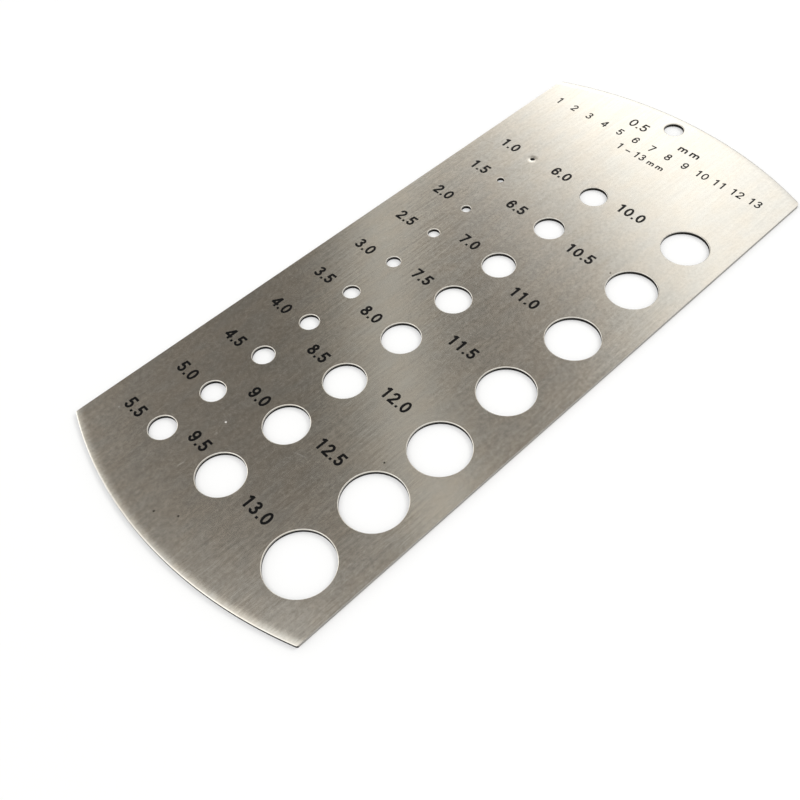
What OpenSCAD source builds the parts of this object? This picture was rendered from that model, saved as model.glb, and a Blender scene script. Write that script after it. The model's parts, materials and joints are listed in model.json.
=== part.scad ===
// Drill size gauge: one flat plate of stainless steel sheet with arced ends and punched holes.
// The smallest hole that a drill's shank passes gives its size.
// X runs across the plate and Y along it, towards the hanging end. The plate lies on Z = 0, about its middle.

/* [Sheet] */
// Thickness of the sheet
sheet_t = 0.8; // [0.5:0.1:2]
// Height of the arc across the hanging end, from the corners to its middle
head_rise = 7; // [3:0.5:12]
// Height of the arc across the foot
foot_rise = 6.5; // [3:0.5:12]
// Radius of the two corners at the hanging end
head_corner_r = 1.5; // [0.4:0.1:3]
// Radius of the two corners at the foot
foot_corner_r = 0.8; // [0.4:0.1:3]

/* [Margins] */
// From the left side to the centre line of the left column
left_margin = 15.4; // [10:0.1:25]
// From the left column's centre line to the line along the right edges of the middle column
middle_gap = 20.6; // [16:0.1:30]
// From that line to the line along the right edges of the right column
right_gap = 26.2; // [18:0.1:36]
// From the right edges of the right column to the right side
right_margin = 4.8; // [3:0.1:15]
// From the corners at the hanging end to the first row
head_margin = 27.1; // [10:0.1:40]
// From the lowest row to the corners at the foot
foot_margin = 9.7; // [8:0.1:25]

/* [Gauge holes] */
// Drill size of the smallest hole
first_size = 1; // [0.5:0.1:2]
// Step from each drill size to the next
size_step = 0.5; // [0.3:0.05:0.6]
// Clearance of each hole over its drill, on the diameter
hole_clearance = 0.05; // [0.02:0.01:0.1]
// Steps between the holes of the left column, from the head down
left_steps = [10.2, 12.2, 10.3, 12, 12, 11.5, 12, 12.5, 12]; // [9:0.1:20]
// Steps between the holes of the middle column, from the head down
middle_steps = [14.2, 15.5, 13.5, 14.5, 15, 14.5, 15.5]; // [12:0.1:24]
// Steps between the holes of the right column, from the head down
right_steps = [16.9, 18, 18.5, 18, 16, 17]; // [15:0.1:28]
// How far the middle column starts below the first row
middle_drop = 0.6; // [0:0.1:3]
// How far the right column starts below the first row
right_drop = 0.3; // [0:0.1:3]
// How far each hole of the left column sits to the right of its line, from the head down
left_shifts = [-0.7, -1.2, -0.2, 0, 0, 0, 0, 0, 0, 0]; // [-1.5:0.1:1.5]
// How far each hole of the middle column sits to the right of its line, from the head down
middle_shifts = [0.2, 0, -0.1, 0.1, 0.1, 0.3, 0.4, 0.7]; // [-1.5:0.1:1.5]
// How far each hole of the right column sits to the right of its line, from the head down
right_shifts = [0.2, -0.1, 0, -0.3, 0.2, 0.1, 0.3]; // [-1.5:0.1:1.5]

/* [Hanging hole] */
// Diameter of the hanging hole
hang_d = 4.5; // [3:0.1:8]
// Sheet left between the hanging hole and the end's edge
hang_web = 2; // [1:0.1:5]
// How far the hanging hole sits to the left of the plate's centre line
hang_offset = 1.5; // [0:0.5:5]

/* [Rolled edges] */
// Width of the edge that the punch draws down round each hole
rim_roll = 0.15; // [0.05:0.05:0.3]
// Width of the edge that the blanking die draws down along each end
end_roll_w = 2.4; // [0.6:0.1:3]
// Depth of the drawn edge along each end
end_roll_d = 0.2; // [0.05:0.05:0.3]
// Diameter of the sunk ring that a thin punch leaves round the smallest hole
dimple_d = 3; // [2.8:0.1:5]
// Depth of that ring
dimple_depth = 0.12; // [0.05:0.01:0.2]

/* [Hidden] */
$fn = 96;
// Cutters pass the faces that they cut by this much
overshoot = 1;
// How deep a rim's round is centred, as a share of the roll: over 1 leaves a clear edge where it ends
rim_ease = 1.25;
// How deep a corner's round is centred, as a share of its radius: under 1 leaves a clear edge where it ends
corner_ease = 0.98;
// How far inside an end's drawn edge its round is centred, as a share of the width: leaves a clear edge too
end_ease = 0.15;

function sum(list, count) = count == 0 ? 0 : list[count - 1] + sum(list, count - 1);
function total(list) = sum(list, len(list));
function arc_radius(half_chord, rise) = (half_chord * half_chord + rise * rise) / (2 * rise);

plate_w = left_margin + middle_gap + right_gap + right_margin;
column_l = max(total(left_steps), middle_drop + total(middle_steps), right_drop + total(right_steps));
side_l = head_margin + column_l + foot_margin;
plate_l = side_l + head_rise + foot_rise;
head_r = arc_radius(plate_w / 2, head_rise);
foot_r = arc_radius(plate_w / 2, foot_rise);
first_row_y = plate_l / 2 - head_rise - head_margin;
left_x = left_margin - plate_w / 2;
middle_edge_x = left_x + middle_gap;
right_edge_x = middle_edge_x + right_gap;
hang_y = plate_l / 2 - hang_web - hang_d / 2;
left_count = len(left_steps) + 1;
middle_count = len(middle_steps) + 1;

function drill_size(place) = first_size + place * size_step;
function hole_d(place) = drill_size(place) + hole_clearance;

// Rounds off the corner between the right side and an end's arc, for an end towards +Y
module corner_cut(end_r, corner_r) {
    reach = 2 * corner_r;
    inset = corner_r * corner_ease;
    lean = asin((plate_w / 2 - inset) / (end_r - inset));
    arc_centre_y = plate_l / 2 - end_r;
    translate([plate_w / 2 - inset, arc_centre_y + (end_r - inset) * cos(lean)])
        difference() {
            polygon([[0, 0], [reach, 0], [reach, reach], reach * [sin(lean), cos(lean)]]);
            circle(corner_r);
        }
}

// Outline of the sheet: straight sides between two arcs
module outline() {
    difference() {
        intersection() {
            square([plate_w, plate_l + 2 * overshoot], center = true);
            translate([0, plate_l / 2 - head_r]) circle(head_r);
            translate([0, foot_r - plate_l / 2]) circle(foot_r);
        }
        for (side = [0, 1]) {
            mirror([side, 0]) corner_cut(head_r, head_corner_r);
            mirror([side, 0]) mirror([0, 1]) corner_cut(foot_r, foot_corner_r);
        }
    }
}

// Takes the drawn-down edge off an end towards +Y, as a shallow round about the arc's centre
module end_roll(end_r) {
    inset = end_roll_w * end_ease;
    reach = end_roll_w + inset;
    fall = (reach * reach - inset * inset - end_roll_d * end_roll_d) / (2 * end_roll_d);
    translate([0, plate_l / 2 - end_r, 0])
        rotate_extrude()
            difference() {
                translate([end_r - reach, 0]) square([reach + overshoot, sheet_t + overshoot]);
                translate([end_r - reach, sheet_t - end_roll_d - fall]) circle(norm([reach, fall]));
            }
}

// A punched hole with its upper rim drawn down
module punched_hole(d) {
    ease = rim_roll * rim_ease;
    round_r = norm([ease, ease - rim_roll]);
    translate([0, 0, -overshoot]) cylinder(d = d, h = sheet_t + 2 * overshoot);
    rotate_extrude()
        difference() {
            translate([0, sheet_t - rim_roll]) square([d / 2 + ease, rim_roll + overshoot]);
            translate([d / 2 + ease, sheet_t - ease]) circle(round_r);
        }
}

// A column of holes whose sizes follow on; edge is 0 to line up centres and 1 to line up right edges
module hole_column(x, y, steps, shifts, first_place, edge) {
    for (row = [0 : len(steps)]) {
        d = hole_d(first_place + row);
        shift = row < len(shifts) ? shifts[row] : 0;
        translate([x + shift - edge * d / 2, y - sum(steps, row), 0]) punched_hole(d);
    }
}

// Shallow sunk ring round the smallest hole
module dimple() {
    translate([left_x + left_shifts[0], first_row_y, sheet_t - dimple_depth])
        cylinder(d1 = 0, d2 = dimple_d * (1 + overshoot / dimple_depth), h = dimple_depth + overshoot);
}

module gauge_plate() {
    color([0.62, 0.61, 0.58])
        difference() {
            linear_extrude(sheet_t) outline();
            end_roll(head_r);
            mirror([0, 1, 0]) end_roll(foot_r);
            hole_column(left_x, first_row_y, left_steps, left_shifts, 0, 0);
            hole_column(middle_edge_x, first_row_y - middle_drop, middle_steps, middle_shifts, left_count, 1);
            hole_column(right_edge_x, first_row_y - right_drop, right_steps, right_shifts,
                left_count + middle_count, 1);
            translate([-hang_offset, hang_y, 0]) punched_hole(hang_d);
            dimple();
        }
}

gauge_plate();
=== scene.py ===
import bpy
import json
import math
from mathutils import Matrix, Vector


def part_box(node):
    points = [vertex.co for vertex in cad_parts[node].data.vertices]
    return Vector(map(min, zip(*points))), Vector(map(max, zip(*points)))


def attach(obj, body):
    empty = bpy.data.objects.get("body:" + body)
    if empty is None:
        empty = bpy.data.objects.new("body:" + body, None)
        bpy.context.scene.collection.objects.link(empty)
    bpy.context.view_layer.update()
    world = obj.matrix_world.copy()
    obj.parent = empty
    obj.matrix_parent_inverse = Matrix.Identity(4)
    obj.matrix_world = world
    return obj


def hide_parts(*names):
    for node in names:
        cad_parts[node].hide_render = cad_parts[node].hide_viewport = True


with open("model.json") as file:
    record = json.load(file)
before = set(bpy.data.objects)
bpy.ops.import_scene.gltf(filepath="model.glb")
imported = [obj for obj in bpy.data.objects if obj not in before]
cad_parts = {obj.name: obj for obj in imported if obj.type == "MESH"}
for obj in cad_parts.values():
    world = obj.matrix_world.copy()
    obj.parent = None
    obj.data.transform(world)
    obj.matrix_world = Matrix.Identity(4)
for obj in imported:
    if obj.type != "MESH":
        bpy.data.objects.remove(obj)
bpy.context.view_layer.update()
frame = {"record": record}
mm = 0.001
plateLow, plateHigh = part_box("gauge_plate")
thickness = plateHigh[2] - plateLow[2]
topZ = plateHigh[2]
bores = [mount for mount in frame["record"]["mounts"] if mount["kind"] == "bore"]
drillHoles = [mount for mount in bores if mount["name"].startswith("drill")]
print("frame loaded:", len(bores), "holes")


def deselectAll():
    bpy.ops.object.select_all(action="DESELECT")


def joinParts(parts, name):
    deselectAll()
    for part in parts:
        part.select_set(True)
    bpy.context.view_layer.objects.active = parts[0]
    if len(parts) > 1:
        bpy.ops.object.join()
    joined = bpy.context.object
    joined.name = name
    bpy.ops.object.transform_apply(location=True, rotation=True, scale=True)
    return joined


def pickFaces(part, wanted):
    bpy.context.view_layer.objects.active = part
    bpy.ops.object.mode_set(mode="EDIT")
    bpy.ops.mesh.select_mode(type="FACE")
    bpy.ops.mesh.select_all(action="DESELECT")
    bpy.ops.object.mode_set(mode="OBJECT")
    for face in part.data.polygons:
        face.select = wanted(face)
    bpy.ops.object.mode_set(mode="EDIT")


def startPoint(place):
    bpy.ops.mesh.primitive_plane_add(size=1 * mm, location=place)
    bpy.ops.object.transform_apply(location=True)
    bpy.ops.object.mode_set(mode="EDIT")
    bpy.ops.mesh.select_mode(type="VERT")
    bpy.ops.mesh.select_all(action="SELECT")
    bpy.ops.mesh.merge(type="CENTER")
    return bpy.context.object


def drawTo(step):
    bpy.ops.mesh.extrude_region_move(TRANSFORM_OT_translate={"value": step})


def carve(body, tool):
    deselectAll()
    bpy.context.view_layer.objects.active = body
    cut = body.modifiers.new("carve", "BOOLEAN")
    cut.operation = "DIFFERENCE"
    cut.object = tool
    cut.solver = "EXACT"
    bpy.ops.object.modifier_apply(modifier="carve")
    bpy.data.objects.remove(tool)


def plug(tree, made, links):
    for socket, value in links:
        if hasattr(value, "is_output"):
            tree.links.new(value, made.inputs[socket])
        else:
            made.inputs[socket].default_value = value


def node(tree, kind, links=(), **settings):
    made = tree.nodes.new(kind)
    for name, value in settings.items():
        setattr(made, name, value)
    plug(tree, made, links)
    return made


# the plate: an outline drawn by spinning a point, extruded, then rolled and punched
plateLook = {
    "headRise": 7 * mm,
    "footRise": 6.5 * mm,
    "headCorner": 1.5 * mm,
    "footCorner": 0.5 * mm,
    "cornerSteps": 8,
    "endSteps": 120,
    "sideBreak": 0.06 * mm,  # the long upper edges, barely broken
    "sideBreakSteps": 2,
    "rollWidth": 1.7 * mm,  # the drawn-down edge along each end
    "rollDepth": 0.072 * mm,
    "rollOver": math.radians(2),  # how far its cutter passes the corners
    "lipDepth": 0.05 * mm,
    "lipFrom": 0.88,  # where the lip starts, as a share of the width
    # shares of the width, of which the last passes the wall
    "rollSteps": (0, 0.15, 0.3, 0.45, 0.6, 0.72, 0.82, 0.88, 0.92, 0.95, 0.97, 0.99, 1.02),
    "rimRoll": 0.15 * mm,  # how deep each hole's rim is drawn down
    "rimWidth": 0.21 * mm,
    "rimSteps": 5,
    "rimTurn": math.radians(84),  # stops short of flat, so that the rim crosses the face cleanly
    "rimOver": 1.02,  # and ends a little above the face
    "holeSteps": (32, 128),  # the fewest and the most
    "holeStepsPerMm": 24,  # for each millimetre of radius
    "dimpleReach": 1.5 * mm,
    "dimpleDepth": 0.12 * mm,
    "dimpleSteps": 64,
    "clear": 1 * mm,  # how far the cutters pass the sheet
    "weld": 0.0005 * mm,  # points closer than this are merged
    "near": 0.001 * mm,  # points closer than this to a face lie on it
    "levelFrom": 0.9,  # a face is level from this height of its normal
    "smoothBelow": math.radians(35),
    "flatWeight": 100,
}
halfWidth = plateHigh[0]
halfLength = plateHigh[1]


def arcOf(rise):
    radius = (halfWidth ** 2 + rise ** 2) / (2 * rise)
    return radius, halfLength - radius


headArc = arcOf(plateLook["headRise"])
footArc = arcOf(plateLook["footRise"])


def cornerPlace(cornerRadius, arc):
    radius, centre = arc
    lean = math.asin((halfWidth - cornerRadius) / (radius - cornerRadius))
    return (halfWidth - cornerRadius, centre + (radius - cornerRadius) * math.cos(lean)), lean


def spinPoint(centreX, centreY, angle, steps):
    bpy.ops.mesh.spin(steps=steps, angle=angle, center=(centreX, centreY, 0), axis=(0, 0, -1))


def drawOutline():
    (headX, headY), headLean = cornerPlace(plateLook["headCorner"], headArc)
    (footX, footY), footLean = cornerPlace(plateLook["footCorner"], footArc)
    headTurn = math.pi / 2 - headLean
    footTurn = math.pi / 2 - footLean
    outline = startPoint((halfWidth, -footY, 0))
    drawTo((0, headY + footY, 0))
    spinPoint(headX, headY, headTurn, plateLook["cornerSteps"])
    spinPoint(0, headArc[1], 2 * headLean, plateLook["endSteps"])
    spinPoint(-headX, headY, headTurn, plateLook["cornerSteps"])
    drawTo((0, -headY - footY, 0))
    spinPoint(-footX, -footY, footTurn, plateLook["cornerSteps"])
    spinPoint(0, -footArc[1], 2 * footLean, plateLook["endSteps"])
    spinPoint(footX, -footY, footTurn, plateLook["cornerSteps"])
    bpy.ops.mesh.select_all(action="SELECT")
    bpy.ops.mesh.remove_doubles(threshold=plateLook["weld"])
    bpy.ops.mesh.edge_face_add()
    drawTo((0, 0, thickness))
    bpy.ops.mesh.select_all(action="SELECT")
    bpy.ops.mesh.normals_make_consistent(inside=False)
    bpy.ops.mesh.select_all(action="DESELECT")
    bpy.ops.object.mode_set(mode="OBJECT")
    return outline


def breakSides(plate):
    verts = plate.data.vertices
    side = halfWidth - plateLook["near"]
    top = topZ - plateLook["near"]
    for edge in plate.data.edges:
        ends = [verts[index].co for index in edge.vertices]
        edge.select = all(abs(end.x) > side and end.z > top for end in ends)
    bpy.ops.object.mode_set(mode="EDIT")
    bpy.ops.mesh.select_mode(type="EDGE")
    bpy.ops.mesh.bevel(
        offset=plateLook["sideBreak"],
        segments=plateLook["sideBreakSteps"],
        affect="EDGES",
    )
    bpy.ops.object.mode_set(mode="OBJECT")


def rollTool(facing, arc):
    radius, centre = arc
    lipFrom = plateLook["lipFrom"]
    inner = radius - plateLook["rollWidth"]
    outer = radius + plateLook["clear"]
    place = (inner, topZ + plateLook["clear"])
    tool = startPoint((0, facing * (centre + place[0]), place[1]))
    profile = []
    for along in plateLook["rollSteps"]:
        lip = max(0, (along - lipFrom) / (1 - lipFrom))
        drop = plateLook["rollDepth"] * along ** 2 + plateLook["lipDepth"] * lip ** 2
        profile.append((inner + along * plateLook["rollWidth"], topZ - drop))
    profile.append((outer, topZ - thickness / 2))
    profile.append((outer, topZ + plateLook["clear"]))
    for spot in profile:
        drawTo((0, facing * (spot[0] - place[0]), spot[1] - place[1]))
        place = spot
    bpy.ops.mesh.select_all(action="SELECT")
    bpy.ops.mesh.edge_face_add()
    half = math.asin(halfWidth / radius) + plateLook["rollOver"]
    middle = (0, facing * centre, 0)
    bpy.ops.transform.rotate(value=half, orient_axis="Z", center_override=middle)
    bpy.ops.mesh.spin(steps=plateLook["endSteps"], angle=2 * half, center=middle, axis=(0, 0, -1))
    bpy.ops.mesh.select_all(action="SELECT")
    bpy.ops.mesh.remove_doubles(threshold=plateLook["weld"])
    bpy.ops.mesh.normals_make_consistent(inside=False)
    bpy.ops.object.mode_set(mode="OBJECT")
    return tool


def punchTool(x, y, radius):
    fewest, most = plateLook["holeSteps"]
    steps = max(fewest, min(most, int(radius / mm * plateLook["holeStepsPerMm"])))
    wallTop = topZ - plateLook["rimRoll"]
    bpy.ops.mesh.primitive_cylinder_add(
        vertices=steps,
        radius=radius,
        depth=wallTop + plateLook["clear"],
        location=(x, y, (wallTop - plateLook["clear"]) / 2),
    )
    tool = bpy.context.object
    pickFaces(tool, lambda face: face.normal.z > plateLook["levelFrom"])
    size = radius
    rise = 0
    for step in range(1, plateLook["rimSteps"] + 1):
        turn = plateLook["rimTurn"] * step / plateLook["rimSteps"]
        grown = radius + plateLook["rimWidth"] * (1 - math.cos(turn))
        height = plateLook["rimRoll"] * math.sin(turn) * plateLook["rimOver"]
        drawTo((0, 0, height - rise))
        growth = grown / size
        middle = (x, y, wallTop + height)
        bpy.ops.transform.resize(value=(growth, growth, 1), center_override=middle)
        size = grown
        rise = height
    drawTo((0, 0, plateLook["clear"]))
    bpy.ops.object.mode_set(mode="OBJECT")
    return tool


def dimpleTool(x, y):
    deep = plateLook["dimpleDepth"]
    tall = deep + plateLook["clear"]
    bpy.ops.mesh.primitive_cone_add(
        vertices=plateLook["dimpleSteps"],
        radius1=0,
        radius2=plateLook["dimpleReach"] * tall / deep,
        depth=tall,
        location=(x, y, topZ - deep + tall / 2),
    )
    return bpy.context.object


deselectAll()
plate = drawOutline()
breakSides(plate)
carve(plate, rollTool(1, headArc))
carve(plate, rollTool(-1, footArc))
smallest = min(drillHoles, key=lambda mount: mount["dims"]["r_mm"])
carve(plate, dimpleTool(*smallest["pos_m"][:2]))
punches = [punchTool(*bore["pos_m"][:2], bore["dims"]["r_mm"] * mm) for bore in bores]
carve(plate, joinParts(punches, "punches"))
plate.name = "steel_plate"
plate.data.name = "steel_plate"
deselectAll()
plate.select_set(True)
bpy.context.view_layer.objects.active = plate
bpy.ops.object.shade_smooth_by_angle(angle=plateLook["smoothBelow"])
weighted = plate.modifiers.new("flat", "WEIGHTED_NORMAL")
weighted.keep_sharp = True
weighted.weight = plateLook["flatWeight"]
bpy.ops.object.modifier_apply(modifier="flat")
print("plate:", len(plate.data.vertices), "points,", len(plate.data.polygons), "faces")


# the figures: each one is bars and bowls of one stroke width, a unit high, joined into a closed slab
figureLook = {
    "drawn": "0123456789.-m",
    "single": "0.-",  # these are one stroke, with nothing to unite
    "slab": 0.008,
    "bowlSteps": 40,
    "advance": 0.776,  # width that a figure takes, as a share of its height
    "pointAdvance": 0.36,
    "letterAdvance": 1.16,
    "side": 0.05,
    "pointSide": 0.085,
    "stretch": 1.06,  # figures are drawn a little wider than their strokes say
}


def bar(start, end):
    run = (end[0] - start[0], end[1] - start[1])
    middle = ((start[0] + end[0]) / 2, (start[1] + end[1]) / 2, 0)
    turn = math.atan2(run[1], run[0])
    bpy.ops.mesh.primitive_plane_add(size=1, location=middle, rotation=(0, 0, turn))
    part = bpy.context.object
    part.scale = (math.hypot(*run), figureLook["stroke"], 1)
    bpy.ops.object.transform_apply(location=True, rotation=True, scale=True)
    return part


def bowl(centre, reach, opening=None):
    rings = []
    for inset in (0, figureLook["stroke"]):
        bpy.ops.mesh.primitive_circle_add(
            vertices=figureLook["bowlSteps"],
            radius=1,
            location=(*centre, 0),
        )
        ring = bpy.context.object
        ring.scale = (reach[0] - inset, reach[1] - inset, 1)
        rings.append(ring)
    part = joinParts(rings, "bowl")
    bpy.ops.object.mode_set(mode="EDIT")
    bpy.ops.mesh.select_all(action="SELECT")
    bpy.ops.mesh.bridge_edge_loops()
    for angle in opening or ():
        away = math.radians(angle + 90)
        bpy.ops.mesh.select_all(action="SELECT")
        bpy.ops.mesh.bisect(plane_co=(*centre, 0), plane_no=(math.cos(away), math.sin(away), 0))
    bpy.ops.mesh.select_all(action="DESELECT")
    bpy.ops.object.mode_set(mode="OBJECT")
    if opening:
        low, high = opening

        def isOpen(face):
            angle = math.degrees(math.atan2(face.center.y - centre[1], face.center.x - centre[0]))
            return (angle - low) % 360 < high - low

        pickFaces(part, isOpen)
        bpy.ops.mesh.delete(type="FACE")
        bpy.ops.object.mode_set(mode="OBJECT")
    return part


def strokes(figure):
    if figure == "0":
        return [bowl((0.31, 0.5), (0.31, 0.51))]
    if figure == "1":
        return [bar((0.37, 0), (0.37, 1)), bar((0.34, 0.93), (0.13, 0.76))]
    if figure == "2":
        upper = bowl((0.31, 0.70), (0.29, 0.31), (185, 318))
        return [upper, bar((0.50, 0.59), (0.10, 0.10)), bar((0.03, 0.078), (0.60, 0.078))]
    if figure == "3":
        upper = bowl((0.30, 0.745), (0.26, 0.265), (175, 262))
        lower = bowl((0.30, 0.29), (0.30, 0.30), (98, 190))
        return [upper, lower, bar((0.22, 0.535), (0.36, 0.535))]
    if figure == "4":
        return [bar((0.46, 0), (0.46, 1)), bar((0, 0.30), (0.64, 0.30)), bar((0.05, 0.29), (0.44, 0.95))]
    if figure == "5":
        lower = bowl((0.30, 0.33), (0.30, 0.34), (135, 195))
        return [lower, bar((0.11, 0.47), (0.17, 0.99)), bar((0.12, 0.922), (0.57, 0.922))]
    if figure == "6":
        return [bowl((0.31, 0.32), (0.30, 0.33)), bowl((0.33, 0.5), (0.32, 0.51), (200, 397))]
    if figure == "7":
        return [bar((0.03, 0.922), (0.61, 0.922)), bar((0.54, 0.93), (0.23, 0.01))]
    if figure == "8":
        return [bowl((0.31, 0.745), (0.26, 0.265)), bowl((0.31, 0.29), (0.31, 0.30))]
    if figure == "9":
        return [bowl((0.31, 0.68), (0.30, 0.33)), bowl((0.29, 0.5), (0.32, 0.51), (20, 217))]
    if figure == "m":
        first = bowl((0.24, 0.34), (0.237, 0.2), (180, 360))
        second = bowl((0.56, 0.34), (0.237, 0.2), (180, 360))
        stems = [bar((x, 0), (x, top)) for x, top in ((0.08, 0.53), (0.40, 0.35), (0.72, 0.35))]
        return [first, second, *stems]
    if figure == "-":
        return [bar((0.05, 0.36), (0.63, 0.36))]
    return [bar((0, 0.09), (0.18, 0.09))]  # the point


def makeFigure(figure):
    glyph = joinParts(strokes(figure), "figure")
    for face in glyph.data.polygons:
        if face.normal.z < 0:
            face.flip()
    slab = glyph.modifiers.new("slab", "SOLIDIFY")
    slab.thickness = figureLook["slab"]
    slab.offset = 1
    bpy.ops.object.modifier_apply(modifier="slab")
    bpy.ops.object.mode_set(mode="EDIT")
    bpy.ops.mesh.select_all(action="SELECT")
    if figure not in figureLook["single"]:
        bpy.ops.mesh.intersect_boolean(operation="UNION", use_self=True, solver="EXACT")
    bpy.ops.object.mode_set(mode="OBJECT")
    return glyph


def widthOf(words):
    point = figureLook["pointAdvance"]
    widths = {".": point, " ": point, "m": figureLook["letterAdvance"]}
    return sum(widths.get(letter, figureLook["advance"]) for letter in words)


def drawFigures(stroke):
    figureLook["stroke"] = stroke  # bars and bowls take their width from here
    return {figure: makeFigure(figure) for figure in figureLook["drawn"]}


def setLine(glyphs, words, left, base, height):
    placed = []
    for count, letter in enumerate(words):
        if letter == " ":
            continue
        copied = glyphs[letter].copy()
        copied.data = glyphs[letter].data.copy()
        bpy.context.collection.objects.link(copied)
        copied.scale = (height * figureLook["stretch"], height, height)
        side = figureLook["pointSide"] if letter == "." else figureLook["side"]
        copied.location = (left + (widthOf(words[:count]) + side) * height, base, topZ)
        placed.append(copied)
    return placed


# the size numbers: where each column starts, and how many millimetres each sits above its hole's middle
numberLook = {
    "stroke": 0.19,
    "height": 2.72 * mm,
    "starts": (-28.45 * mm, -12.95 * mm, 5.45 * mm),
    "lifts": (
        (0.4, 0.25, 0.65, -0.65, -0.95, -0.6, -0.95, -1.05, -0.35, -0.8),
        (1, 0.25, 0.85, 0.1, 0.2, 0.95, 0.55, 1.75),
        (0.85, 0.9, 1.55, 2.1, 2.1, 1.65, 1.55),
    ),
}
# the block at the hanging end: step, whole sizes and range, in plain figures
blockLook = {
    "stroke": 0.155,
    "stepBase": 67.85 * mm,
    "stepHeight": 2.7 * mm,
    "stepCentres": (-8.4 * mm, 6.4 * mm),
    "scaleBase": 63.25 * mm,
    "scaleHeight": 2.2 * mm,
    "scaleReach": 27.5 * mm,
    "scaleSizes": (1, 13),
    "rangeBase": 59.35 * mm,
    "rangeHeight": 2.1 * mm,
    "centre": -1 * mm,
}


def setCentred(glyphs, words, centre, base, height):
    return setLine(glyphs, words, centre - widthOf(words) * height / 2, base, height)


bold = drawFigures(numberLook["stroke"])
plain = drawFigures(blockLook["stroke"])
print("figures drawn:", len(bold) + len(plain))
marks = []
ordered = iter(drillHoles)
for start, lifts in zip(numberLook["starts"], numberLook["lifts"]):
    for lift in lifts:
        hole = next(ordered)
        whole, tenth = hole["name"].split("_")[1:]
        middle = hole["pos_m"][1] + lift * mm
        words = str(int(whole)) + "." + tenth
        marks += setLine(bold, words, start, middle - numberLook["height"] / 2, numberLook["height"])
for words, centre in zip(("0.5", "mm"), blockLook["stepCentres"]):
    marks += setCentred(plain, words, centre, blockLook["stepBase"], blockLook["stepHeight"])
firstSize, lastSize = blockLook["scaleSizes"]
midSize = (firstSize + lastSize) / 2
for size in range(firstSize, lastSize + 1):
    centre = blockLook["centre"] + blockLook["scaleReach"] * (size - midSize) / (lastSize - midSize)
    marks += setCentred(plain, str(size), centre, blockLook["scaleBase"], blockLook["scaleHeight"])
words = f"{firstSize} - {lastSize} mm"
marks += setCentred(plain, words, blockLook["centre"], blockLook["rangeBase"], blockLook["rangeHeight"])
for glyph in (*bold.values(), *plain.values()):
    bpy.data.objects.remove(glyph)
numbers = joinParts(marks, "black_numbers")
numbers.data.name = "black_numbers"
print("numbers:", len(numbers.data.polygons), "faces")


# finishes
narrowNoise = (0.35, 0.65)  # noise keeps mostly between these
wideNoise = (0.3, 0.7)


def rangeOf(tree, value, low, high, start=0, end=1):
    spans = [("From Min", low), ("From Max", high), ("To Min", start), ("To Max", end)]
    return node(tree, "ShaderNodeMapRange", [("Value", value), *spans]).outputs[0]


def mathOf(tree, operation, *values):
    return node(tree, "ShaderNodeMath", enumerate(values), operation=operation).outputs[0]


def vectorOf(tree, operation, *vectors):
    made = node(tree, "ShaderNodeVectorMath", enumerate(vectors), operation=operation)
    return made.outputs["Value"]


def blendOf(tree, share, first, second, **settings):
    # the colours of a mix node are its inputs 6 and 7 and its output 2
    links = [(0, share), (6, first), (7, second)]
    return node(tree, "ShaderNodeMix", links, data_type="RGBA", **settings).outputs[2]


def noiseOf(tree, spot, scale, detail):
    stretch = node(tree, "ShaderNodeMapping", [("Vector", spot), ("Scale", scale)]).outputs[0]
    links = [("Vector", stretch), ("Scale", 1), ("Detail", detail)]
    return node(tree, "ShaderNodeTexNoise", links).outputs[0]


def bumpOf(tree, height, strength, depth):
    links = [("Strength", strength), ("Distance", depth), ("Height", height)]
    return node(tree, "ShaderNodeBump", links).outputs[0]


def newMaterial(name):
    material = bpy.data.materials.new(name)
    material.use_nodes = True
    tree = material.node_tree
    spot = tree.nodes.new("ShaderNodeTexCoord").outputs["Object"]
    return material, tree, tree.nodes["Principled BSDF"], spot


# the faces: rolled steel with a lengthwise grain; each noise is given as scale and detail
steelLook = {
    "colour": (0.812, 0.764, 0.681, 1),
    "shade": (0.71, 0.666, 0.593, 1),
    "coolTint": (0.972, 1, 1.033, 1),  # the grey drifts a little from warm to cool
    "grain": ((1500, 110, 1500), 3),  # fine lines that run along the sheet
    "streak": ((420, 14, 420), 4),
    "cloud": ((90, 60, 90), 4),
    "mottle": ((1700, 1350, 1700), 5),
    "drift": ((320, 180, 320), 3),
    "streakShare": 0.4,  # of the streaks beside the clouds
    "cloudShare": 0.5,  # of both beside the mottle
    "toneSpan": (0.6, 1.1),
    "smoothest": 0.156,
    "roughest": 0.204,
    "roughSpan": (0.7, 1.3),
    "streakHeight": 0.5,  # beside the grain's
    "grainBump": 0.8,
    "grainDepth": 0.018 * mm,
    "markCore": 0.4,  # share of a speck or scuff that is at full strength
    "specks": ((0, -70.45), (-4, -72.95), (17.2, 26.95), (17.9, -37.45)),
    "speckSize": 0.24,
    "speckColour": (0.04, 0.035, 0.03, 1),
    "scuffs": (  # place, turn, half length, half width and how bright
        (-10.3, -52.1, 0, 0.32, 0.3, 0.65),
        (-28.2, -64.4, 0, 0.24, 0.24, 0.22),
        (-9.5, -54.9, 0, 0.4, 0.35, 0.1),
        (-8.8, -63.7, 84, 1.3, 0.15, 0.16),
        (-12.2, -63.2, 88, 1.1, 0.15, 0.08),
        (5.7, -47, 18, 2, 0.15, 0.1),
        (-8.3, 34.4, 60, 0.5, 0.13, 0.35),
    ),
    "scuffColour": (0.85, 0.84, 0.8, 1),
}


def markAt(tree, spot, x, y, turn, reach, width):
    links = [
        ("Vector", spot),
        ("Location", (x * mm, y * mm, topZ)),
        ("Rotation", (0, 0, math.radians(turn))),
        ("Scale", (reach * mm, width * mm, thickness / 2)),
    ]
    place = node(tree, "ShaderNodeMapping", links, vector_type="TEXTURE").outputs[0]
    return rangeOf(tree, vectorOf(tree, "LENGTH", place), 1, steelLook["markCore"])


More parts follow.
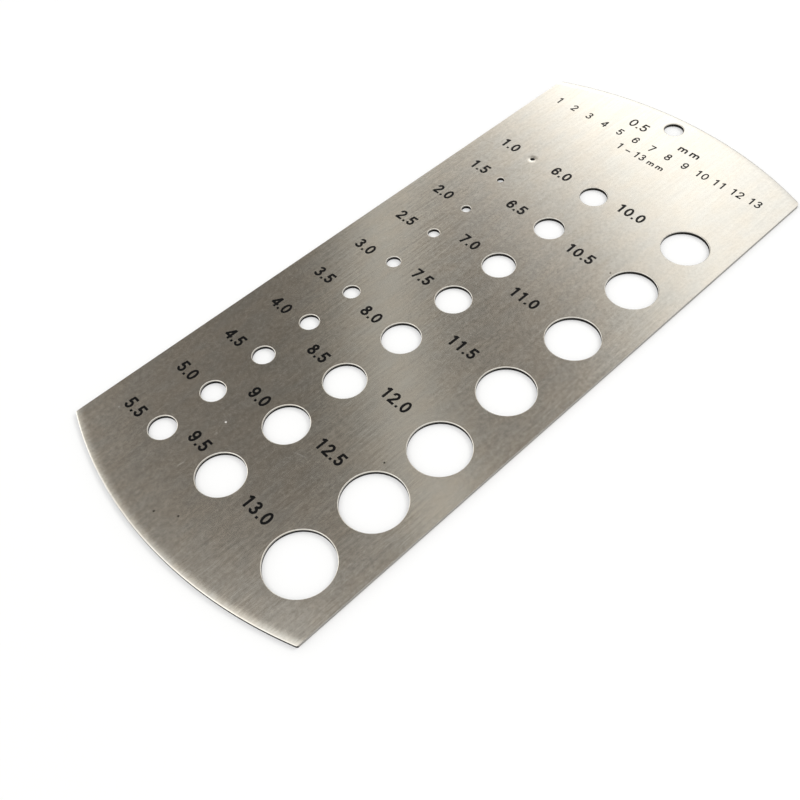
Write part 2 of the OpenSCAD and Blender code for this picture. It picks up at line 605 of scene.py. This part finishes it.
def steelMaterial():
    steel, tree, shader, spot = newMaterial("rolled_stainless")
    names = ("grain", "streak", "cloud", "mottle", "drift")
    grain, streak, cloud, mottle, drift = [noiseOf(tree, spot, *steelLook[name]) for name in names]
    blend = mathOf(tree, "MULTIPLY_ADD", streak, steelLook["streakShare"], cloud)
    blend = mathOf(tree, "MULTIPLY_ADD", blend, steelLook["cloudShare"], mottle)
    share = rangeOf(tree, blend, *steelLook["toneSpan"])
    finish = blendOf(tree, share, steelLook["shade"], steelLook["colour"])
    cool = rangeOf(tree, drift, *narrowNoise)
    finish = blendOf(tree, cool, finish, steelLook["coolTint"], blend_type="MULTIPLY")
    for x, y in steelLook["specks"]:
        mask = markAt(tree, spot, x, y, 0, steelLook["speckSize"], steelLook["speckSize"])
        finish = blendOf(tree, mask, finish, steelLook["speckColour"])
    shine = 1
    for *place, bright in steelLook["scuffs"]:
        dull = mathOf(tree, "MULTIPLY", markAt(tree, spot, *place), bright)
        finish = blendOf(tree, dull, finish, steelLook["scuffColour"])
        shine = mathOf(tree, "SUBTRACT", shine, dull)
    uneven = mathOf(tree, "ADD", grain, mottle)
    rough = rangeOf(tree, uneven, *steelLook["roughSpan"], steelLook["smoothest"], steelLook["roughest"])
    height = mathOf(tree, "MULTIPLY_ADD", streak, steelLook["streakHeight"], grain)
    bump = bumpOf(tree, height, steelLook["grainBump"], steelLook["grainDepth"])
    links = [("Metallic", shine), ("Base Color", finish), ("Roughness", rough), ("Normal", bump)]
    plug(tree, shader, links)
    return steel


# the walls of the holes and of the ends: a bright burnished band over a dark torn one, whose near-black
# tone is partly the dull fracture and partly painted shade
wallLook = {
    "burnished": (0.32, 0.305, 0.28, 1),
    # the torn band: a dull fracture, darkened to near black as painted shade
    "tornAndPaintedShade": (0.022, 0.021, 0.019, 1),
    "burnishedFrom": 0.7,  # these four are shares of the sheet's thickness
    "tornBelow": 0.55,
    "ragged": 0.25,
    "raggedMiddle": 0.12,
    "paintedLitSide": (0.3, 0.95, 0),  # painted light: walls that face the lamp's way get the bright band reaching deeper
    "paintedLitShare": 0.2,
    "lines": ((6000, 6000, 400), 3),
    "tornRough": 0.65,
    "burnishedRough": 0.35,
    "lineBump": 0.3,
    "lineDepth": 0.02 * mm,
    "uprightTo": 0.3,  # the normal of a wall rises or falls no more than this
}


def wallMaterial():
    wall, tree, shader, spot = newMaterial("sheared_edge")
    height = node(tree, "ShaderNodeSeparateXYZ", [(0, spot)]).outputs[2]
    lines = noiseOf(tree, spot, *wallLook["lines"])
    facing = node(tree, "ShaderNodeNewGeometry").outputs["Normal"]
    # painted light: the bright band reaches lower on walls that face the lamp's side
    side = vectorOf(tree, "DOT_PRODUCT", facing, wallLook["paintedLitSide"])
    height = mathOf(tree, "MULTIPLY_ADD", side, wallLook["paintedLitShare"] * thickness, height)
    height = mathOf(tree, "MULTIPLY_ADD", lines, wallLook["ragged"] * thickness, height)
    low = thickness * (wallLook["tornBelow"] + wallLook["raggedMiddle"])
    high = thickness * (wallLook["burnishedFrom"] + wallLook["raggedMiddle"])
    band = rangeOf(tree, height, low, high)
    tone = blendOf(tree, band, wallLook["tornAndPaintedShade"], wallLook["burnished"])
    rough = rangeOf(tree, band, 0, 1, wallLook["tornRough"], wallLook["burnishedRough"])
    bump = bumpOf(tree, lines, wallLook["lineBump"], wallLook["lineDepth"])
    links = [("Metallic", 1), ("Base Color", tone), ("Roughness", rough), ("Normal", bump)]
    plug(tree, shader, links)
    return wall


# the long sides come smooth from the slitting of the strip
slitLook = {
    "colour": (0.42, 0.4, 0.37, 1),
    "shade": (0.25, 0.238, 0.22, 1),
    "lines": ((300, 300, 9000), 3),
    "smoothest": 0.35,
    "roughest": 0.5,
    "near": 0.01 * mm,  # how close to the side a wall's middle lies
}


def slitMaterial():
    slit, tree, shader, spot = newMaterial("slit_edge")
    lines = noiseOf(tree, spot, *slitLook["lines"])
    tone = blendOf(tree, rangeOf(tree, lines, *narrowNoise), slitLook["shade"], slitLook["colour"])
    rough = rangeOf(tree, lines, *wideNoise, slitLook["smoothest"], slitLook["roughest"])
    plug(tree, shader, [("Metallic", 1), ("Base Color", tone), ("Roughness", rough)])
    return slit


inkLook = {
    "fresh": (0.002, 0.002, 0.002, 1),
    "worn": (0.008, 0.008, 0.008, 1),
    "wear": ((2500, 2500, 2500), 3),
    "smoothest": 0.18,
    "roughest": 0.26,
    "gloss": 0.2,
}


def inkMaterial():
    ink, tree, shader, spot = newMaterial("marking_ink")
    wear = noiseOf(tree, spot, *inkLook["wear"])
    tone = blendOf(tree, wear, inkLook["fresh"], inkLook["worn"])
    rough = rangeOf(tree, wear, *wideNoise, inkLook["smoothest"], inkLook["roughest"])
    links = [("Base Color", tone), ("Roughness", rough), ("Specular IOR Level", inkLook["gloss"])]
    plug(tree, shader, links)
    return ink


def dress(piece, *materials):
    piece.data.materials.clear()
    for material in materials:
        piece.data.materials.append(material)


steelIndex, wallIndex, slitIndex = range(3)
dress(plate, steelMaterial(), wallMaterial(), slitMaterial())
for face in plate.data.polygons:
    face.material_index = wallIndex
    if abs(face.normal.z) > wallLook["uprightTo"]:
        face.material_index = steelIndex
    elif abs(face.center.x) > halfWidth - slitLook["near"]:
        face.material_index = slitIndex
dress(numbers, inkMaterial())
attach(plate, "root")
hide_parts("gauge_plate")
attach(numbers, "root")
print("pieces dressed")


# the stage: a pale floor in a white room, with a grey card and soft lights overhead, a lamp and a low
# dark strip beyond the hanging end; turns are degrees from -X towards +Y, rises and reaches degrees too
stageLook = {
    "floorSize": 6,
    "floorColour": (0.866, 0.866, 0.861, 1),
    "floorWhite": 0.3,  # share of plain white that the floor shows, the rest is its own colour and shadow
    "whiteFrom": 0.25,  # away from the plate the floor goes over to plain white
    "whiteAt": 0.9,
    "white": (1, 1, 1, 1),
    "roomStrength": 1.2,
    "roomTone": (0.8, 0.8, 0.8, 1),
    "cardTurn": 31,
    "cardRise": 50,
    "cardReach": 36,
    "cardTones": (  # by how far from the card's middle
        (0, (0.107, 0.099, 0.088, 1)),
        (6, (0.133, 0.122, 0.109, 1)),
        (12, (0.163, 0.15, 0.135, 1)),
        (18, (0.262, 0.243, 0.218, 1)),
        (24, (1, 1, 0.98, 1)),
    ),
    "stripTurn": 79,  # a pale strip across the card, curved about this place
    "stripRise": 40,
    "stripRadius": 30,
    "stripReach": 2.8,
    "stripTone": (0.52, 0.52, 0.49, 1),
    "lights": (  # turn, rise, reach and tone
        (56.5, 33.5, 14, (0.62, 0.62, 0.615, 1)),  # the bright one that the hanging end shows
        (51, 32.5, 6.5, (0.34, 0.34, 0.335, 1)),  # its hotter part, at the left
        (12, 67, 11, (0.13, 0.13, 0.128, 1)),  # shows along the foot's right half
        (302, 52, 26, (0.8, 0.8, 0.79, 1)),  # broad, before the foot, for the lips and rims
        (-18, 20, 25, (1, 1, 0.98, 1)),  # low, at the left, for the foot's lip and the rims' right halves
    ),
    "lampAway": 1.2,
    "lampTurn": 105,
    "lampRise": 40,
    "lampSize": 0.5,
    "lampPower": 4.4,
    "flagRadius": 0.8,
    "flagLow": 0.03,
    "flagHigh": 0.2,
    "flagSteps": 72,
    "flagFrom": 0.35,  # it stands from this share of its radius onwards
    "flagColour": (0.04, 0.04, 0.04, 1),
}


def aimAt(turn, rise, away):
    turn = math.radians(turn)
    rise = math.radians(rise)
    flat = away * math.cos(rise)
    return (-flat * math.cos(turn), flat * math.sin(turn), away * math.sin(rise))


def showMixed(tree, output, share, first, second):
    links = [(0, share), (1, first.outputs[0]), (2, second.outputs[0])]
    mixed = node(tree, "ShaderNodeMixShader", links)
    plug(tree, tree.nodes[output], [("Surface", mixed.outputs[0])])


def makeFloor():
    deselectAll()
    bpy.ops.mesh.primitive_plane_add(size=stageLook["floorSize"], location=(0, 0, plateLow[2]))
    floor = bpy.context.object
    floor.name = "floor"
    paint, tree, shader, spot = newMaterial("floor_paint")
    colour = stageLook["floorColour"]
    plug(tree, shader, [("Base Color", colour), ("Roughness", 1), ("Specular IOR Level", 0)])
    seen = node(tree, "ShaderNodeLightPath")
    share = seen.outputs["Is Camera Ray"]
    for ray in ("Is Glossy Ray", "Is Transmission Ray"):
        share = mathOf(tree, "MAXIMUM", share, seen.outputs[ray])
    away = vectorOf(tree, "LENGTH", spot)
    fade = rangeOf(tree, away, stageLook["whiteFrom"], stageLook["whiteAt"], stageLook["floorWhite"], 1)
    share = mathOf(tree, "MULTIPLY", share, fade)
    white = node(tree, "ShaderNodeEmission", [("Color", stageLook["white"]), ("Strength", 1)])
    showMixed(tree, "Material Output", share, shader, white)
    floor.data.materials.append(paint)


def makeFlag():
    deselectAll()
    tall = stageLook["flagHigh"] - stageLook["flagLow"]
    bpy.ops.mesh.primitive_cylinder_add(
        vertices=stageLook["flagSteps"],
        radius=stageLook["flagRadius"],
        depth=tall,
        end_fill_type="NOTHING",
        location=(0, 0, stageLook["flagLow"] + tall / 2),
    )
    flag = bpy.context.object
    flag.name = "dark_strip"
    pickFaces(flag, lambda face: face.center.y < stageLook["flagFrom"] * stageLook["flagRadius"])
    bpy.ops.mesh.delete(type="FACE")
    bpy.ops.object.mode_set(mode="OBJECT")
    flag.visible_camera = False
    flag.visible_diffuse = False
    flag.visible_shadow = False
    paint, tree, shader = newMaterial("strip_paint")[:3]
    plug(tree, shader, [("Base Color", stageLook["flagColour"]), ("Roughness", 1)])
    flag.data.materials.append(paint)


def makeLamp():
    deselectAll()
    place = aimAt(stageLook["lampTurn"], stageLook["lampRise"], stageLook["lampAway"])
    bpy.ops.object.light_add(type="AREA", location=place)
    lamp = bpy.context.object
    lamp.data.shape = "DISK"
    lamp.data.size = stageLook["lampSize"]
    lamp.data.energy = stageLook["lampPower"]
    lamp.visible_glossy = False
    lamp.rotation_euler = lamp.location.to_track_quat("Z", "Y").to_euler()


def awayFrom(tree, look, turn, rise):
    # angle in radians between the way we look and one place in the room
    along = vectorOf(tree, "DOT_PRODUCT", look, aimAt(turn, rise, 1))
    return mathOf(tree, "ARCCOSINE", along)


def makeCard(tree, look):
    away = awayFrom(tree, look, stageLook["cardTurn"], stageLook["cardRise"])
    reach = math.radians(stageLook["cardReach"])
    card = node(tree, "ShaderNodeValToRGB", [(0, rangeOf(tree, away, 0, reach))])
    ramp = card.color_ramp
    ramp.elements[0].color = stageLook["cardTones"][0][1]
    ramp.elements[1].color = stageLook["roomTone"]
    for angle, tone in stageLook["cardTones"][1:]:
        ramp.elements.new(angle / stageLook["cardReach"]).color = tone
    away = awayFrom(tree, look, stageLook["stripTurn"], stageLook["stripRise"])
    aside = mathOf(tree, "SUBTRACT", away, math.radians(stageLook["stripRadius"]))
    aside = mathOf(tree, "ABSOLUTE", aside)
    strip = rangeOf(tree, aside, math.radians(stageLook["stripReach"]), 0)
    mixing = {"blend_type": "ADD", "clamp_result": True}
    return blendOf(tree, strip, card.outputs[0], stageLook["stripTone"], **mixing)


def lightRoom():
    room = bpy.data.worlds.new("white_room")
    bpy.context.scene.world = room
    room.use_nodes = True
    tree = room.node_tree
    look = tree.nodes.new("ShaderNodeTexCoord").outputs["Generated"]
    tone = makeCard(tree, look)
    for turn, rise, reach, bright in stageLook["lights"]:
        away = awayFrom(tree, look, turn, rise)
        share = rangeOf(tree, away, math.radians(reach), 0)
        tone = blendOf(tree, share, tone, bright, blend_type="ADD")
    sky = tree.nodes["Background"]
    plug(tree, sky, [("Color", tone), ("Strength", stageLook["roomStrength"])])
    white = node(tree, "ShaderNodeBackground", [("Color", stageLook["white"]), ("Strength", 1)])
    seen = node(tree, "ShaderNodeLightPath").outputs["Is Camera Ray"]
    showMixed(tree, "World Output", seen, sky, white)


makeFloor()
makeFlag()
makeLamp()
lightRoom()
print("stage set")


# the camera stands where the photograph was taken from
cameraLook = {
    "place": (95.05, -94.29, 144.57),
    "turn": (37.15, 3.59, 46.52),
    "lens": 43.05,
    "sensor": 36,
    "nearest": 10 * mm,
}
deselectAll()
bpy.ops.object.camera_add(
    location=[value * mm for value in cameraLook["place"]],
    rotation=[math.radians(value) for value in cameraLook["turn"]],
)
camera = bpy.context.object
camera.data.sensor_width = cameraLook["sensor"]
camera.data.lens = cameraLook["lens"]
camera.data.clip_start = cameraLook["nearest"]
bpy.context.scene.camera = camera
bpy.context.scene.view_settings.view_transform = "Standard"
print("camera set")
